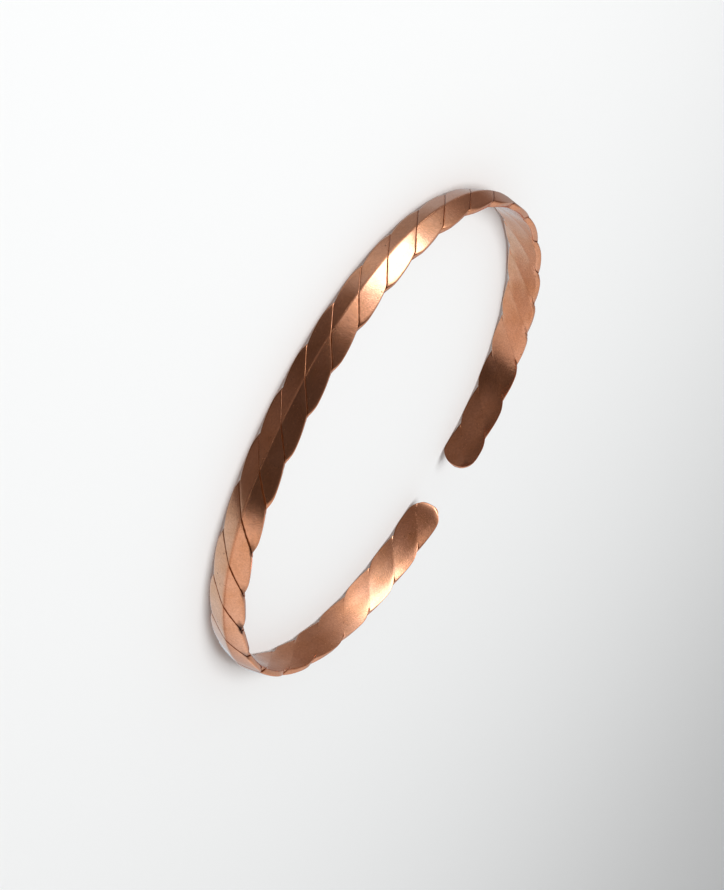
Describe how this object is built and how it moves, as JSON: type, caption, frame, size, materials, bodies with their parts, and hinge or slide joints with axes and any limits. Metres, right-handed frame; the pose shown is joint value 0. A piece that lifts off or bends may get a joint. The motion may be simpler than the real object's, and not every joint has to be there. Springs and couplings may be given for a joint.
{
  "type": "twisted copper cuff bracelet",
  "caption": "Slim open oval cuff of copper strands twisted like a rope and rolled flat, with scalloped edges and rounded tips, worn round the wrist.",
  "frame": {"origin": "middle of the cuff's outline seen along the wrist, at the level of the edge that it lies on", "axes": "+Z runs through the wrist hollow, +Y points from the back of the cuff to the gap between its tips, +X is across the wrist"},
  "size_m": [0.0606, 0.0471, 0.0047],
  "materials": {
    "copper": "satin rolled copper, lightly oxidised in the seams"
  },
  "bodies": {
    "root": {"strand_1": "copper", "strand_2": "copper", "strand_3": "copper"}
  },
  "joints": []
}
